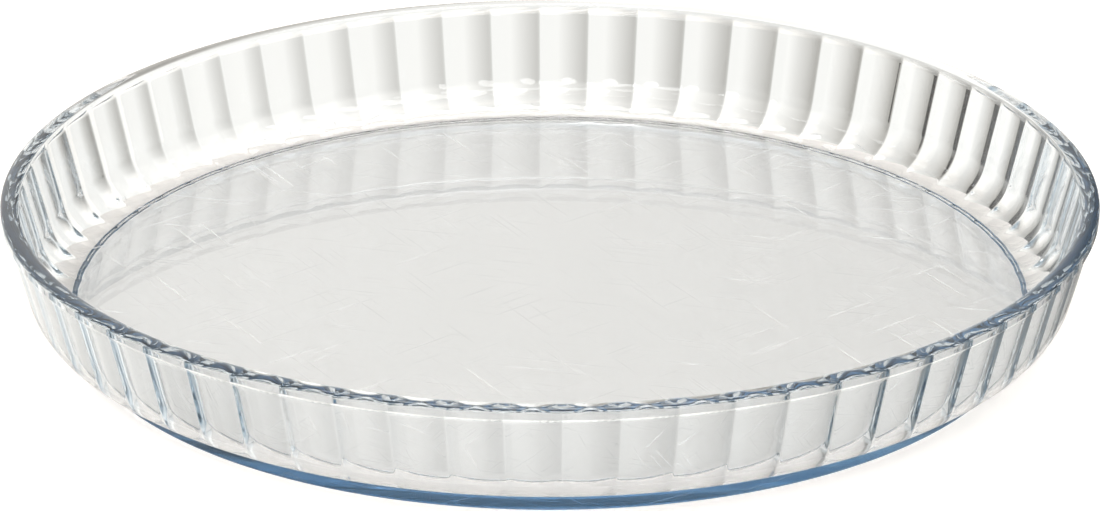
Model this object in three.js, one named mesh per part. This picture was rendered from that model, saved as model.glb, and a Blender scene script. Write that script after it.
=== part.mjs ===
// A round, shallow flan dish of clear pressed glass: flat floor on a low round foot, rounded heel, leaning
// fluted wall and rounded rim, all one piece. Millimetres, +Z up, origin at the centre of the underside.
import * as THREE from 'three';
import { mergeVertices } from 'three/addons/utils/BufferGeometryUtils.js';

// Overall sizes
const RIM_DIAMETER = 280; // across the outer face of the rim
const HEIGHT = 34; // underside to the crest of the rim
const WALL_LEAN = 14.6; // degrees that the wall leans out from upright
const WALL_THICKNESS = 4.2; // smooth outside to ridge inside, square to the wall

// Rim: a rounded bead that stands a little proud of the wall
const CREST_HEIGHT = 1; // outer face of the bead up to its crest
const CREST_INSET = 2.8; // outer face of the bead in to its crest
const FACE_HEIGHT = 1.6; // upright outer face of the bead
const LIP_OVERHANG = 0.85; // outer face of the bead beyond the line of the wall
const LIP_UNDERSIDE = 2.2; // height over which the wall runs out to the bead
const BEAD_DEPTH = 0.8; // crest down to the heads of the hollows

// Flutes: hollows inside with sharp ridges between them, under a smooth outside
const FLUTE_COUNT = 62;
const HOLLOW_DEPTH = 1; // hollows behind the ridges
const HOLLOW_HEAD = 2.2; // height over which a hollow runs out below the bead

// Foot and heel: the floor stands on an upright-sided disc, and the underside rises from it to the wall
const FOOT_HEIGHT = 3.8;
const FOOT_EDGE = 0.6; // small round at the bottom of the foot
const FOOT_INSET = 10.5; // foot in from the corner where the underside meets the wall
const UNDERSIDE_RISE = 23.3; // degrees above level
const OUTER_HEEL = 9; // radius where the underside turns up into the wall
const FLOOR_STEP = 2.2; // top of the foot up to the floor inside
const INNER_HEEL = 12.3; // radius where the ridges and hollows turn into the floor

// Facets
const STEPS_PER_FLUTE = 4;
const HEEL_STEPS = 4;
const OUTER_HEEL_STEPS = 4;
const SAME_POINT = 1e-4; // points closer than this are one point

const lean = THREE.MathUtils.degToRad(WALL_LEAN);
const rise = THREE.MathUtils.degToRad(UNDERSIDE_RISE);
const rimRadius = RIM_DIAMETER / 2;
const faceTop = HEIGHT - CREST_HEIGHT;
const faceFoot = faceTop - FACE_HEIGHT;
const floorHeight = FOOT_HEIGHT + FLOOR_STEP;

// Radius of the wall at a height: its smooth outside, and the ridges inside.
const wallAt = (z) => rimRadius - LIP_OVERHANG - (faceFoot - z) * Math.tan(lean);
const ridgeAt = (z) => wallAt(z) - WALL_THICKNESS / Math.cos(lean);

// A profile station on the line between two flutes: radius, height, and depth of the flutes beside it.
const station = (r, z, hollow = 0) => ({ r, z, hollow });

// Outside, from the centre of the underside to the crest of the rim.
function outerProfile() {
  const cornerHeight = FOOT_HEIGHT + FOOT_INSET * Math.tan(rise);
  const corner = new THREE.Vector2(wallAt(cornerHeight), cornerHeight);
  const footRadius = corner.x - FOOT_INSET;
  const turn = Math.PI / 2 - lean - rise;
  const alongUnderside = new THREE.Vector2(Math.cos(rise), Math.sin(rise));
  const heelStart = corner.clone().addScaledVector(alongUnderside, -OUTER_HEEL * Math.tan(turn / 2));
  const down = new THREE.Vector2(alongUnderside.y, -alongUnderside.x);
  const centre = heelStart.clone().addScaledVector(down, -OUTER_HEEL);
  const stations = [
    station(0, 0),
    station(footRadius - FOOT_EDGE, 0),
    station(footRadius, FOOT_EDGE),
    station(footRadius, FOOT_HEIGHT),
  ];
  for (let i = 0; i <= OUTER_HEEL_STEPS; i += 1) {
    const angle = rise - Math.PI / 2 + (turn * i) / OUTER_HEEL_STEPS;
    stations.push(station(centre.x + OUTER_HEEL * Math.cos(angle), centre.y + OUTER_HEEL * Math.sin(angle)));
  }
  const wallEnd = faceFoot - LIP_UNDERSIDE;
  return [
    ...stations,
    station(wallAt(wallEnd), wallEnd),
    station(rimRadius, faceFoot),
    station(rimRadius, faceTop),
    crestRound(rimRadius, faceTop),
    station(rimRadius - CREST_INSET, HEIGHT),
  ];
}

// The point half way round from a side of the bead to its crest.
function crestRound(r, z) {
  const crest = rimRadius - CREST_INSET;
  return station(crest + (r - crest) * Math.SQRT1_2, z + (HEIGHT - z) * Math.SQRT1_2);
}

// Inside, from just past the crest down the ridges, round the heel and in to the centre of the floor.
function innerProfile() {
  const beadFoot = HEIGHT - BEAD_DEPTH;
  const stations = [crestRound(ridgeAt(beadFoot), beadFoot), station(ridgeAt(beadFoot), beadFoot)];
  const headFoot = beadFoot - HOLLOW_HEAD;
  const hollow = HOLLOW_DEPTH / Math.cos(lean);
  stations.push(station(ridgeAt(headFoot), headFoot, hollow));
  const centreHeight = floorHeight + INNER_HEEL;
  const centreRadius = ridgeAt(centreHeight - INNER_HEEL * Math.sin(lean)) - INNER_HEEL * Math.cos(lean);
  for (let i = 0; i <= HEEL_STEPS; i += 1) {
    const angle = (Math.PI / 2 - lean) * (1 - i / HEEL_STEPS);
    const r = centreRadius + INNER_HEEL * Math.sin(angle);
    stations.push(station(r, centreHeight - INNER_HEEL * Math.cos(angle), hollow));
  }
  stations.push(station(0, floorHeight));
  return stations;
}

// Scallop of one flute, a parabola: 0 on the ridge between two flutes, 1 in the middle of a flute.
function scallop(step) {
  const along = (step % STEPS_PER_FLUTE) / STEPS_PER_FLUTE;
  return 4 * along * (1 - along);
}

// Drops the triangles that the axis points reduce to a line.
function dropSlivers(geometry) {
  const kept = [];
  const corners = geometry.index.array;
  for (let i = 0; i < corners.length; i += 3) {
    const [a, b, c] = corners.slice(i, i + 3);
    if (a !== b && b !== c && c !== a) kept.push(a, b, c);
  }
  geometry.setIndex(kept);
  return geometry;
}

// The profile is turned about the axis, and the rings inside are then hollowed by their flutes.
function dishGeometry() {
  const profile = [...outerProfile(), ...innerProfile()];
  const points = profile.map((s) => new THREE.Vector2(s.r, s.z));
  const steps = FLUTE_COUNT * STEPS_PER_FLUTE;
  const lathe = new THREE.LatheGeometry(points, steps);
  const position = lathe.attributes.position;
  for (let i = 0; i < position.count; i += 1) {
    const { r, z, hollow } = profile[i % profile.length];
    const step = Math.floor(i / profile.length) % steps;
    const angle = (step / steps) * 2 * Math.PI;
    const radius = r + hollow * scallop(step);
    position.setXYZ(i, radius * Math.sin(angle), z, radius * Math.cos(angle));
  }
  lathe.deleteAttribute('normal');
  lathe.deleteAttribute('uv');
  const closed = dropSlivers(mergeVertices(lathe, SAME_POINT));
  closed.rotateX(Math.PI / 2);
  closed.computeVertexNormals();
  return closed;
}

const clearGlass = new THREE.MeshStandardMaterial({
  name: 'clear_pressed_glass',
  color: 0xdfe8ee,
  roughness: 0.05,
  metalness: 0,
  transparent: true,
  opacity: 0.35,
});

const dish = new THREE.Mesh(dishGeometry(), clearGlass);
dish.name = 'fluted_dish';

const object = new THREE.Group();
object.add(dish);

export default object;
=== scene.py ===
"""A fluted flan dish of clear pressed glass on a pale table, under plain soft studio light."""
import logging
import math
from dataclasses import dataclass
from enum import Enum
from typing import Any

import bmesh
import bpy
from mathutils import Matrix, Vector


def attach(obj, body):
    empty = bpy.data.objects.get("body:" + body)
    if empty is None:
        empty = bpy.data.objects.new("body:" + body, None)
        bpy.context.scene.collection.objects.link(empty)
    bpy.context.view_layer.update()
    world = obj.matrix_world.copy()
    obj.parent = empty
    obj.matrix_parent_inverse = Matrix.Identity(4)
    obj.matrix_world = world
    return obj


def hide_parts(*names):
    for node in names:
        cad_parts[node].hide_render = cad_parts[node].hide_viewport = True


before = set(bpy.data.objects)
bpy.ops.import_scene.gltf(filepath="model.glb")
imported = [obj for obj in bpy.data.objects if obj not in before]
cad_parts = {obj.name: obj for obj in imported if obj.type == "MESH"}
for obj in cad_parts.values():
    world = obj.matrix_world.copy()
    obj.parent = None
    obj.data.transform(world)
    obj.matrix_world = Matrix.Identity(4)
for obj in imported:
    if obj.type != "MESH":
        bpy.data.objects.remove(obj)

LOG = logging.getLogger("flan_dish")
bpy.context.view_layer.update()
MM = 0.001
SAME_POINT_M = 2e-6
PHOTO_WIDTH_PX = 1100
SENSOR_MM = 36.0


class Slot(Enum):
    """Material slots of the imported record."""

    GLASS = "clear_pressed_glass"


def linear(hex_colour: str) -> tuple[float, float, float, float]:
    """Turns an sRGB hex colour into linear RGBA.

    Args:
        hex_colour: Six hex digits, such as "dfe8ee".

    Returns:
        Linear red, green and blue with an alpha of 1.
    """
    parts = [int(hex_colour[i:i + 2], 16) / 255 for i in (0, 2, 4)]
    return (*[c / 12.92 if c <= 0.04045 else ((c + 0.055) / 1.055) ** 2.4 for c in parts], 1.0)


def add_node(tree: bpy.types.NodeTree, kind: str, inputs: dict[Any, Any], **settings: Any) -> bpy.types.Node:
    """Adds one node with its settings, socket values and links.

    Args:
        tree: Node tree of a material or of the world.
        kind: Blender's name for the node type.
        inputs: Socket name or number, with a constant or another node's output socket.
        settings: Properties of the node itself.

    Returns:
        The new node.
    """
    node = tree.nodes.new(kind)
    for name, value in settings.items():
        setattr(node, name, value)
    for key, value in inputs.items():
        if isinstance(value, bpy.types.NodeSocket):
            tree.links.new(value, node.inputs[key])
        else:
            node.inputs[key].default_value = value
    return node


@dataclass(frozen=True)
class PressedGlass:
    """Clear pressed soda-lime glass, fire-polished, with a floor that knives and washing have scratched.

    It is as good as colourless through one wall and steel blue along the rim and the edge of the floor,
    where light travels a long way inside it. The scratches are hair-fine frosted lines.
    """

    ior: float = 1.5
    tint: str = "0099c3"
    density_per_m: float = 10.0
    floor_top_mm: float = 6.0
    floor_margin_mm: float = 0.3
    clean_radius_mm: float = 30.0
    worn_radius_mm: float = 118.0
    clean_share: float = 0.25
    # Real scratches are under 0.1 mm wide: these are drawn about three times as wide, so that they show.
    scratch_spacing_mm: float = 0.9
    scratch_length_mm: float = 30.0
    scratch_turns_deg: tuple[float, ...] = (28.0, 74.0, 131.0)
    scratch_from: float = 0.72
    scratch_to: float = 0.84
    scratch_roughness: float = 0.3
    scratch_frost: float = 0.3

    def scratches(self, tree: bpy.types.NodeTree) -> bpy.types.NodeSocket:
        """Draws the scratches of the floor: long, thin streaks in a few directions, more of them near its edge.

        Args:
            tree: Node tree of the glass.

        Returns:
            A mask that is 1 in a scratch and 0 on polished glass.
        """
        place = add_node(tree, "ShaderNodeTexCoord", {}).outputs["Object"]
        streaks = None
        # Each direction reads its own layer of the noise
        for layer, turn in enumerate(self.scratch_turns_deg):
            along = add_node(tree, "ShaderNodeMapping", {
                "Vector": place, "Rotation": (0, 0, math.radians(turn)), "Location": (0, 0, layer),
                "Scale": (self.scratch_spacing_mm * MM, self.scratch_length_mm * MM, 1.0)},
                vector_type="TEXTURE")
            noise = add_node(tree, "ShaderNodeTexNoise", {
                "Vector": along.outputs[0], "Scale": 1.0, "Detail": 0.0})
            line = add_node(tree, "ShaderNodeMapRange", {
                "Value": noise.outputs[0], "From Min": self.scratch_from, "From Max": self.scratch_to})
            streaks = line.outputs[0] if streaks is None else add_node(
                tree, "ShaderNodeMath", {0: streaks, 1: line.outputs[0]}, operation="MAXIMUM").outputs[0]
        height = add_node(tree, "ShaderNodeSeparateXYZ", {0: place}).outputs["Z"]
        on_floor = add_node(tree, "ShaderNodeMath", {
            0: height, 1: self.floor_top_mm * MM, 2: self.floor_margin_mm * MM}, operation="COMPARE")
        level = add_node(tree, "ShaderNodeVectorMath", {0: place, 1: (1, 1, 0)}, operation="MULTIPLY")
        radius = add_node(tree, "ShaderNodeVectorMath", {0: level.outputs[0]}, operation="LENGTH")
        wear = add_node(tree, "ShaderNodeMapRange", {
            "Value": radius.outputs["Value"], "From Min": self.clean_radius_mm * MM,
            "From Max": self.worn_radius_mm * MM, "To Min": self.clean_share})
        worn = add_node(tree, "ShaderNodeMath", {0: on_floor.outputs[0], 1: wear.outputs[0]},
                        operation="MULTIPLY")
        mask = add_node(tree, "ShaderNodeMath", {0: streaks, 1: worn.outputs[0]}, operation="MULTIPLY")
        return mask.outputs[0]

    def material(self) -> bpy.types.Material:
        """Makes the glass material.

        Returns:
            The material, ready to assign.
        """
        mat = bpy.data.materials.new("clear_pressed_glass")
        mat.use_nodes = True
        tree = mat.node_tree
        tree.nodes.clear()
        scratch = self.scratches(tree)
        rough = add_node(tree, "ShaderNodeMath", {0: scratch, 1: self.scratch_roughness}, operation="MULTIPLY")
        clear = add_node(tree, "ShaderNodeMath", {0: scratch, 1: -self.scratch_frost, 2: 1.0},
                         operation="MULTIPLY_ADD")
        body = add_node(tree, "ShaderNodeBsdfPrincipled", {
            "Base Color": linear("ffffff"), "Roughness": rough.outputs[0], "IOR": self.ior,
            "Transmission Weight": clear.outputs[0]})
        depth = add_node(tree, "ShaderNodeVolumeAbsorption", {
            "Color": linear(self.tint), "Density": self.density_per_m})
        add_node(tree, "ShaderNodeOutputMaterial", {"Surface": body.outputs[0], "Volume": depth.outputs[0]})
        return mat


@dataclass(frozen=True)
class PaleTable:
    """Matt white laminate: an even, pale top that keeps a faint shadow."""

    colour: str = "ebe7e4"
    open_lift: float = 0.4
    through_lift: float = 0.05

    def material(self) -> bpy.types.Material:
        """Makes the table material, lifted towards white for camera rays and slightly for glass rays.

        Returns:
            The material, ready to assign.
        """
        mat = bpy.data.materials.new("matt_white_laminate")
        mat.use_nodes = True
        tree = mat.node_tree
        tree.nodes.clear()
        rays = add_node(tree, "ShaderNodeLightPath", {})
        top = add_node(tree, "ShaderNodeBsdfDiffuse", {"Color": linear(self.colour)})
        seen = add_node(tree, "ShaderNodeMath", {
            0: rays.outputs["Is Glossy Ray"], 1: rays.outputs["Is Transmission Ray"]}, operation="MAXIMUM")
        through = add_node(tree, "ShaderNodeMath", {
            0: seen.outputs[0], 1: self.through_lift}, operation="MULTIPLY")
        lift = add_node(tree, "ShaderNodeMath", {
            0: rays.outputs["Is Camera Ray"], 1: self.open_lift, 2: through.outputs[0]},
            operation="MULTIPLY_ADD")
        glow = add_node(tree, "ShaderNodeEmission", {"Color": linear("ffffff"), "Strength": lift.outputs[0]})
        both = add_node(tree, "ShaderNodeAddShader", {0: top.outputs[0], 1: glow.outputs[0]})
        add_node(tree, "ShaderNodeOutputMaterial", {"Surface": both.outputs[0]})
        return mat


@dataclass(frozen=True)
class Station:
    """A point of the dish's section on the line between two flutes, in millimetres.

    The middle of a flute lies the depth of its hollow further out.
    """

    r: float
    z: float
    hollow: float = 0.0


@dataclass
class FlutedDish:
    """The dish: floor, foot, rounded heel, wall fluted inside and rounded rim, sizes in millimetres."""

    rim_radius: float = 140.0
    height: float = 34.0
    wall_lean: float = math.radians(14.6)
    wall_thickness: float = 4.2
    floor_thickness: float = 6.0
    face_top: float = 1.0
    face_foot: float = 2.6
    crest_inset: float = 2.8
    lip_overhang: float = 0.85
    lip_underside: float = 2.2
    # Power of the curve that carries the lip out from the wall
    lip_curve: int = 3
    bead_depth: float = 0.8
    flutes: int = 62
    hollow_depth: float = 1.0
    hollow_head: float = 2.2
    inner_heel: float = 12.3
    foot_height: float = 3.8
    foot_run: float = 10.5
    foot_edge: float = 0.6
    foot_corner: float = 1.0
    rise: float = math.radians(23.3)
    outer_heel: float = 9.0
    # Share of a flute's half width over which its ridge is rounded
    cusp: float = 0.06
    # Close points beside a round keep the flat beside it flat to the eye
    support: float = 0.1
    steps_per_flute: int = 18
    round_steps: int = 6
    outer_heel_steps: int = 10
    inner_heel_steps: int = 14
    lip_steps: int = 6
    head_steps: int = 8
    wall_steps: int = 4

    def wall(self, z: float) -> float:
        """Radius of the smooth outside of the wall at height z."""
        drop = self.height - self.face_foot - z
        return self.rim_radius - self.lip_overhang - drop * math.tan(self.wall_lean)

    def ridge(self, z: float) -> float:
        """Radius of the ridges inside the wall at height z."""
        return self.wall(z) - self.wall_thickness / math.cos(self.wall_lean)

    def arc(self, centre: Vector, radii: tuple[float, float], start: float, turn: float, steps: int,
            lead: bool = True, trail: bool = True) -> list[Vector]:
        """Goes round an arc of the section, with a close point on the straight before it and after it.

        Args:
            centre: Centre of the arc, radius and height.
            radii: Half widths of the arc along the radius and along the height.
            start: Angle of its first point.
            turn: Angle it goes round, negative for clockwise.
            steps: Number of steps along it.
            lead: Whether the close point before it is made.
            trail: Whether the close point after it is made.

        Returns:
            The points in order.
        """
        angles = [start + turn * i / steps for i in range(steps + 1)]
        points = [centre + Vector((radii[0] * math.cos(a), radii[1] * math.sin(a))) for a in angles]
        ends = []
        for a in (angles[0], angles[-1]):
            tangent = Vector((-radii[0] * math.sin(a), radii[1] * math.cos(a))).normalized()
            ends.append(tangent * math.copysign(self.support, turn))
        before = [points[0] - ends[0]] if lead else []
        after = [points[-1] + ends[1]] if trail else []
        return before + points + after

    def outside(self) -> list[Station]:
        """Works out the section from the centre of the underside to the crest.

        Returns:
            The stations in order.
        """
        corner_z = self.foot_height + self.foot_run * math.tan(self.rise)
        corner = Vector((self.wall(corner_z), corner_z))
        foot_r = corner.x - self.foot_run
        along = Vector((math.cos(self.rise), math.sin(self.rise)))
        turn = math.pi / 2 - self.wall_lean - self.rise
        bend = math.pi / 2 - self.rise
        heel_start = corner - along * self.outer_heel * math.tan(turn / 2)
        edge = Vector((foot_r - self.foot_edge, self.foot_edge))
        nook = Vector((foot_r + self.foot_corner, self.foot_height - self.foot_corner * math.tan(bend / 2)))
        heel = heel_start + Vector((-along.y, along.x)) * self.outer_heel
        face_z = self.height - self.face_foot
        top_z = self.height - self.face_top
        crest = Vector((self.rim_radius - self.crest_inset, top_z))
        points = [Vector((0, 0))]
        points += self.arc(edge, (self.foot_edge,) * 2, -math.pi / 2, math.pi / 2, self.round_steps)
        points += self.arc(nook, (self.foot_corner,) * 2, math.pi, -bend, self.round_steps)
        points += self.arc(heel, (self.outer_heel,) * 2, self.rise - math.pi / 2, turn, self.outer_heel_steps)
        for i in range(self.lip_steps + 1):
            share = i / self.lip_steps
            z = face_z - self.lip_underside * (1 - share)
            points.append(Vector((self.wall(z) + self.lip_overhang * share ** self.lip_curve, z)))
        points.append(Vector((self.rim_radius, face_z + self.support)))
        points += self.arc(crest, (self.crest_inset, self.face_top), 0, math.pi / 2, self.round_steps,
                           trail=False)
        return [Station(p.x, p.y) for p in points]

    def inside(self) -> list[Station]:
        """Works out the section from past the crest down the ridges, round the heel and in over the floor.

        Returns:
            The stations in order.
        """
        bead_z = self.height - self.bead_depth
        head_z = bead_z - self.hollow_head
        crest_r = self.rim_radius - self.crest_inset
        bead = Vector((crest_r, bead_z))
        inset = crest_r - self.ridge(bead_z)
        hollow = self.hollow_depth / math.cos(self.wall_lean)
        rounds = self.arc(bead, (inset, self.bead_depth), math.pi / 2, math.pi / 2, self.round_steps,
                          lead=False, trail=False)
        line = [Station(p.x, p.y) for p in rounds[1:]]
        for i in range(1, self.head_steps + 1):
            share = i / self.head_steps
            z = bead_z - self.hollow_head * share
            line.append(Station(self.ridge(z), z, hollow * math.sin(math.pi / 2 * share)))
        heel_z = self.floor_thickness + self.inner_heel
        foot_z = heel_z - self.inner_heel * math.sin(self.wall_lean)
        for i in range(1, self.wall_steps):
            z = head_z + (foot_z - head_z) * i / self.wall_steps
            line.append(Station(self.ridge(z), z, hollow))
        heel = Vector((self.ridge(foot_z) - self.inner_heel * math.cos(self.wall_lean), heel_z))
        rounds = self.arc(heel, (self.inner_heel,) * 2, -self.wall_lean, self.wall_lean - math.pi / 2,
                          self.inner_heel_steps)
        line += [Station(p.x, p.y, hollow) for p in rounds[:-1]]
        line.append(Station(rounds[-1].x, self.floor_thickness))
        line.append(Station(0, self.floor_thickness))
        return line

    def scallop(self, t: float) -> float:
        """Depth of a flute at t from -1 to 1 across it: a parabola with a slightly rounded ridge.

        Args:
            t: Place across the flute, 0 in its middle.

        Returns:
            A share of the hollow's depth, 0 on the ridge and 1 in the middle.
        """
        from_ridge = 1 - abs(t)
        top = 1 - self.cusp
        slope = 2 / (self.cusp + top)
        if from_ridge < self.cusp:
            return slope * from_ridge ** 2 / (2 * self.cusp)
        up = (from_ridge - self.cusp) / top
        return slope * (self.cusp / 2 + top * (up - up * up / 2))

    def build(self) -> bpy.types.Object:
        """Spins the section through one flute, hollows the flute, and spins that round the axis.

        Returns:
            The dish object.
        """
        bm = bmesh.new()
        hollow = bm.verts.layers.float.new("hollow")
        chain = []
        for s in self.outside() + self.inside():
            v = bm.verts.new((0, -s.r * MM, s.z * MM))
            v[hollow] = s.hollow * MM
            chain.append(v)
        edges = [bm.edges.new(pair) for pair in zip(chain, chain[1:])]
        pitch = 2 * math.pi / self.flutes
        bmesh.ops.spin(bm, geom=chain + edges, axis=(0, 0, 1), cent=(0, 0, 0), steps=self.steps_per_flute,
                       angle=pitch)
        for v in bm.verts:
            radius = math.hypot(v.co.x, v.co.y)
            if radius > 0:
                along = 2 * math.atan2(v.co.x, -v.co.y) / pitch - 1
                # The steps are drawn closer together beside the ridges
                t = along * (3 - along * along) / 2
                radius += v[hollow] * self.scallop(t)
                angle = (t + 1) * pitch / 2
                v.co = radius * math.sin(angle), -radius * math.cos(angle), v.co.z
        bmesh.ops.spin(bm, geom=bm.verts[:] + bm.edges[:] + bm.faces[:], axis=(0, 0, 1), cent=(0, 0, 0),
                       steps=self.flutes - 1, angle=2 * math.pi - pitch, use_duplicate=True)
        bmesh.ops.remove_doubles(bm, verts=bm.verts, dist=SAME_POINT_M)
        bmesh.ops.recalc_face_normals(bm, faces=bm.faces)
        mesh = bpy.data.meshes.new("glass_dish")
        bm.to_mesh(mesh)
        bm.free()
        mesh.shade_smooth()
        dish = bpy.data.objects.new("glass_dish", mesh)
        bpy.context.collection.objects.link(dish)
        return dish

    def dress(self, dish: bpy.types.Object, glass: PressedGlass) -> None:
        """Gives the dish its glass and sets it on the frame.

        Args:
            dish: The object made by build.
            glass: The glass it is pressed from.
        """
        dish.data.materials.append(glass.material())
        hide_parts("fluted_dish")
        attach(dish, "root")


@dataclass
class Table:
    """The pale table top the dish stands on, and the round patch of it that shows through the glass."""

    top_radius_m: float = 3.0
    top_level_mm: float = -0.4
    patch_radius_m: float = 0.138
    patch_level_mm: float = -0.2
    segments: int = 128

    def build(self, finish: PaleTable) -> None:
        """Lays the table top and the patch.

        Args:
            finish: The finish of the table.
        """
        laminate = finish.material()
        top = self.lay("table_top", self.top_level_mm, self.top_radius_m, laminate)
        top.visible_transmission = False
        top.visible_glossy = False
        patch = self.lay("table_under_glass", self.patch_level_mm, self.patch_radius_m, laminate)
        patch.visible_camera = False
        patch.visible_diffuse = False
        patch.visible_shadow = False

    def lay(self, name: str, level_mm: float, radius_m: float,
            laminate: bpy.types.Material) -> bpy.types.Object:
        """Lays one round sheet.

        Args:
            name: Name of the sheet.
            level_mm: Height of its top.
            radius_m: Radius of the sheet.
            laminate: Its material.

        Returns:
            The sheet object.
        """
        bm = bmesh.new()
        bmesh.ops.create_circle(bm, cap_ends=True, segments=self.segments, radius=radius_m,
                                matrix=Matrix.Translation((0, 0, level_mm * MM)))
        mesh = bpy.data.meshes.new(name)
        bm.to_mesh(mesh)
        bm.free()
        sheet = bpy.data.objects.new(name, mesh)
        bpy.context.collection.objects.link(sheet)
        sheet.data.materials.append(laminate)
        return sheet


def outward(azimuth: float, elevation: float) -> Vector:
    """Turns a viewing angle into a direction.

    Args:
        azimuth: Angle from the front towards the right.
        elevation: Angle above level.

    Returns:
        The unit vector from the dish outward.
    """
    return Vector((math.cos(elevation) * math.sin(azimuth), -math.cos(elevation) * math.cos(azimuth),
                   math.sin(elevation)))


@dataclass(frozen=True)
class SoftLamp:
    """A round soft lamp that faces the dish."""

    name: str
    azimuth: float
    elevation: float
    width_m: float
    height_m: float
    radiance: float
    distance_m: float = 1.2

    def hang(self) -> None:
        """Hangs the lamp at its distance from the dish and turns it to face it."""
        data = bpy.data.lights.new(self.name, "AREA")
        data.shape = "ELLIPSE"
        data.size, data.size_y = self.width_m, self.height_m
        data.energy = self.radiance * math.pi * self.width_m * self.height_m
        lamp = bpy.data.objects.new(self.name, data)
        bpy.context.collection.objects.link(lamp)
        out = outward(self.azimuth, self.elevation)
        lamp.location = out * self.distance_m
        lamp.rotation_euler = out.to_track_quat("Z", "Y").to_euler()


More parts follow.
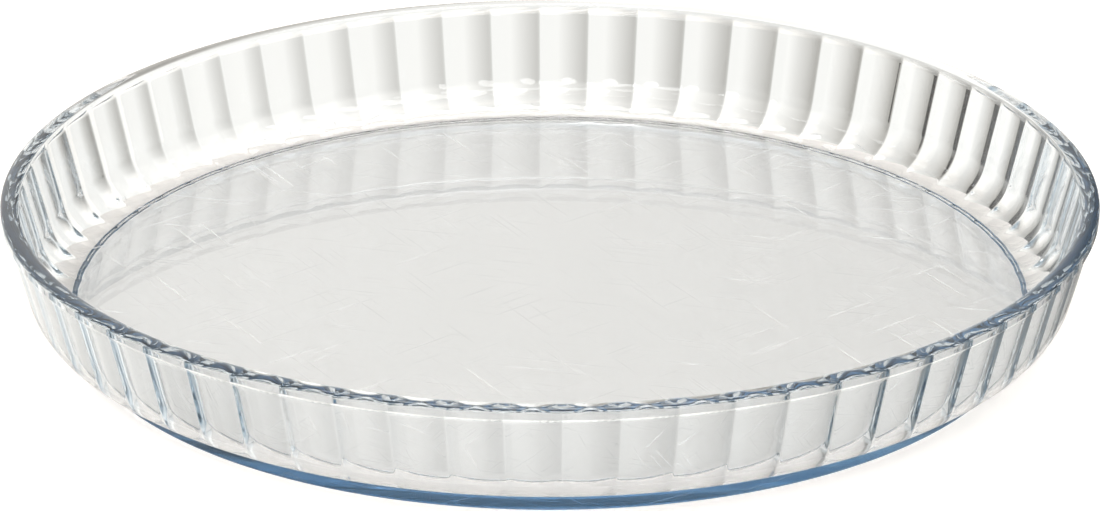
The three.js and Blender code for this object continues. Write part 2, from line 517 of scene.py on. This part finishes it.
@dataclass
class Studio:
    """A pale room with low grey backdrops on four sides, dim on the right and in front, and its camera.

    A way is a share of the level direction towards the back or the right, and a height is the sine of the
    elevation. Each pair runs from no effect to the full effect.
    """

    room: str = "fffcf6"
    level: float = 1.27
    right_wall: str = "8a8782"
    right_wall_way: tuple[float, float] = (-0.1, 0.4)
    front_wall: str = "2a2a2c"
    front_wall_way: tuple[float, float] = (-0.1, -0.6)
    front_wall_foot: tuple[float, float] = (-0.15, -0.05)
    ceiling: str = "fffcf6"
    ceiling_height: tuple[float, float] = (0.4, 0.6)
    dark_corner: str = "2b2622"
    dark_turn: float = math.radians(15)
    dark_way: tuple[float, float] = (0.37, 0.4)
    dark_top: tuple[float, float] = (-0.27, -0.33)
    dark_bottom: tuple[float, float] = (-0.48, -0.42)
    backdrop_right: str = "96938d"
    backdrop_left: str = "ecebe7"
    backdrop_fall: tuple[float, float] = (-0.02, 0.3)
    left_backdrop_way: tuple[float, float] = (-0.6, -0.9)
    backdrop_edge: tuple[float, float] = (0.952, 0.955)
    backdrop_top: tuple[float, float] = (-0.15, -0.27)
    lamps: tuple[SoftLamp, ...] = (
        SoftLamp("front_softbox", math.radians(-16), math.radians(35), 0.55, 0.36, 4.0),
        SoftLamp("front_strip", math.radians(22), math.radians(66), 0.9, 0.3, 2.6),
        SoftLamp("back_softbox", math.radians(180), math.radians(65), 0.7, 0.45, 3.0),
    )
    camera_elevation: float = math.radians(22.64)
    camera_azimuth: float = -0.021
    camera_distance_mm: float = 1412.55
    focal_px: float = 5497.33
    aim_z_mm: float = 14.5
    clip_end_m: float = 50.0

    def light(self) -> None:
        """Paints the room round the dish, white where the camera sees it, and hangs the lamps."""
        world = bpy.data.worlds.new("soft_room")
        bpy.context.scene.world = world
        world.use_nodes = True
        tree = world.node_tree
        tree.nodes.clear()
        way = add_node(tree, "ShaderNodeTexCoord", {}).outputs["Generated"]
        height = add_node(tree, "ShaderNodeSeparateXYZ", {0: way}).outputs["Z"]
        level_way = add_node(tree, "ShaderNodeVectorMath", {0: way, 1: (1, 1, 0)}, operation="MULTIPLY")
        flat = add_node(tree, "ShaderNodeVectorMath", {0: level_way.outputs[0]},
                        operation="NORMALIZE").outputs[0]
        to_dark = add_node(tree, "ShaderNodeVectorMath", {
            0: flat, 1: (math.cos(self.dark_turn), math.sin(self.dark_turn), 0)}, operation="DOT_PRODUCT")
        turned = add_node(tree, "ShaderNodeSeparateXYZ", {0: flat})
        rightward, backward = turned.outputs["X"], turned.outputs["Y"]
        either_way = add_node(tree, "ShaderNodeVectorMath", {0: flat}, operation="ABSOLUTE")
        sides = add_node(tree, "ShaderNodeSeparateXYZ", {0: either_way.outputs[0]})
        to_side = add_node(tree, "ShaderNodeMath", {0: sides.outputs["X"], 1: sides.outputs["Y"]},
                           operation="MAXIMUM").outputs[0]
        masks = {}
        for name, value, (start, end) in (
            ("right_wall", rightward, self.right_wall_way),
            ("front_way", backward, self.front_wall_way),
            ("front_foot", height, self.front_wall_foot),
            ("ceiling", height, self.ceiling_height),
            ("dark_way", to_dark.outputs["Value"], self.dark_way),
            ("dark_top", height, self.dark_top),
            ("dark_bottom", height, self.dark_bottom),
            ("backdrop_edge", to_side, self.backdrop_edge),
            ("backdrop_top", height, self.backdrop_top),
            ("backdrop_fall", rightward, self.backdrop_fall),
            ("left_backdrop", rightward, self.left_backdrop_way),
        ):
            masks[name] = add_node(tree, "ShaderNodeMapRange", {
                "Value": value, "From Min": start, "From Max": end},
                interpolation_type="LINEAR" if name == "backdrop_fall" else "SMOOTHSTEP").outputs[0]
        for whole, first, second in (
            ("front_wall", "front_way", "front_foot"),
            ("dark_band", "dark_top", "dark_bottom"),
            ("dark_corner", "dark_way", "dark_band"),
            ("backdrop", "backdrop_edge", "backdrop_top"),
        ):
            masks[whole] = add_node(tree, "ShaderNodeMath", {0: masks[first], 1: masks[second]},
                                    operation="MULTIPLY").outputs[0]
        drop = add_node(tree, "ShaderNodeMix", {
            0: masks["backdrop_fall"], 6: linear(self.backdrop_left), 7: linear(self.backdrop_right)},
            data_type="RGBA").outputs[2]
        drop = add_node(tree, "ShaderNodeMix", {
            0: masks["left_backdrop"], 6: drop, 7: linear(self.backdrop_right)}, data_type="RGBA").outputs[2]
        colour = linear(self.room)
        for name, tone in (
            ("right_wall", linear(self.right_wall)),
            ("front_wall", linear(self.front_wall)),
            ("ceiling", linear(self.ceiling)),
            ("dark_corner", linear(self.dark_corner)),
            ("backdrop", drop),
        ):
            colour = add_node(tree, "ShaderNodeMix", {0: masks[name], 6: colour, 7: tone},
                              data_type="RGBA").outputs[2]
        to_camera = add_node(tree, "ShaderNodeLightPath", {}).outputs["Is Camera Ray"]
        seen = add_node(tree, "ShaderNodeMix", {0: to_camera, 6: colour, 7: linear("ffffff")},
                        data_type="RGBA")
        strength = add_node(tree, "ShaderNodeMix", {0: to_camera, 2: self.level, 3: 1.0}, data_type="FLOAT")
        glow = add_node(tree, "ShaderNodeBackground", {
            "Color": seen.outputs[2], "Strength": strength.outputs[0]})
        add_node(tree, "ShaderNodeOutputWorld", {"Surface": glow.outputs[0]})
        for lamp in self.lamps:
            lamp.hang()

    def camera(self) -> None:
        """Places the camera at the photograph's angle."""
        data = bpy.data.cameras.new("photo_view")
        data.sensor_width = SENSOR_MM
        data.lens = SENSOR_MM * self.focal_px / PHOTO_WIDTH_PX
        data.clip_end = self.clip_end_m
        view = bpy.data.objects.new("photo_view", data)
        bpy.context.collection.objects.link(view)
        out = outward(self.camera_azimuth, self.camera_elevation)
        view.location = Vector((0, 0, self.aim_z_mm * MM)) + out * self.camera_distance_mm * MM
        view.rotation_euler = (-out).to_track_quat("-Z", "Y").to_euler()
        bpy.context.scene.camera = view


@dataclass(frozen=True)
class GlassRays:
    """How often a ray may pass or bounce in the glass before it is lost."""

    bounces: int = 40
    glossy_bounces: int = 24

    def apply(self, scene: bpy.types.Scene) -> None:
        """Sets the limits on a scene.

        Args:
            scene: The scene to set.
        """
        scene.cycles.max_bounces = self.bounces
        scene.cycles.transmission_bounces = self.bounces
        scene.cycles.glossy_bounces = self.glossy_bounces
        scene.cycles.use_denoising = True


def main() -> None:
    """Builds the dish, the table, the light and the camera."""
    logging.basicConfig(level=logging.INFO)
    scene = bpy.context.scene
    scene.view_settings.view_transform = "Standard"
    GlassRays().apply(scene)
    studio = Studio()
    studio.camera()
    studio.light()
    LOG.info("camera and light placed")
    dish = FlutedDish()
    glass_dish = dish.build()
    dish.dress(glass_dish, PressedGlass())
    LOG.info("%s: %d faces", glass_dish.name, len(glass_dish.data.polygons))
    Table().build(PaleTable())
    LOG.info("table laid")


if __name__ == "__main__":
    main()
